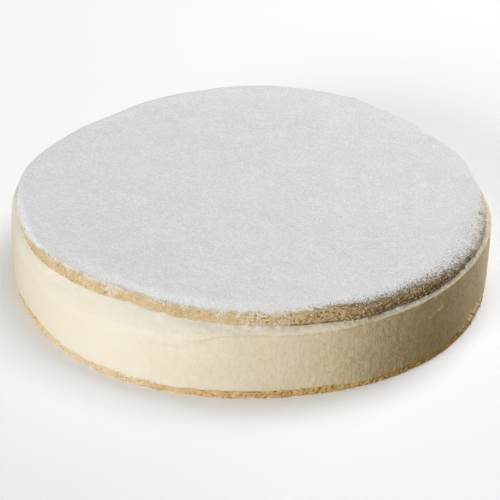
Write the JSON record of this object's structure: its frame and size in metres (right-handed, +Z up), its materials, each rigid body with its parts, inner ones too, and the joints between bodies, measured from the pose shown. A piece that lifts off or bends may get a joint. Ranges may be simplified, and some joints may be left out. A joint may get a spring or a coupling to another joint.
{
  "type": "layered ricotta cream cake",
  "caption": "Round layered cake: a deep band of smooth ricotta cream on a thin sponge base, with an inset sponge disc on top under a coat of icing sugar.",
  "frame": {"origin": "middle of the flat underside, on the surface that the cake stands on", "axes": "+Z up through the layers; the front of the cake, as pictured, faces -Y; +X to the right seen from the front"},
  "size_m": [0.2713, 0.2699, 0.0501],
  "materials": {
    "base_sponge": "golden tan baked sponge with a fine open crumb, matt",
    "ricotta_cream": "ivory set ricotta cream, smooth with fine vertical drag marks, soft sheen",
    "top_sponge": "tan baked sponge, torn crumb with dark pores, dusted towards its upper rim, matt",
    "sugar_coat": "fine white icing sugar, granular, matt"
  },
  "bodies": {
    "root": {"base_sponge": "base_sponge", "ricotta_cream": "ricotta_cream", "top_sponge": "top_sponge", "sugar_coat": "sugar_coat"}
  },
  "joints": []
}
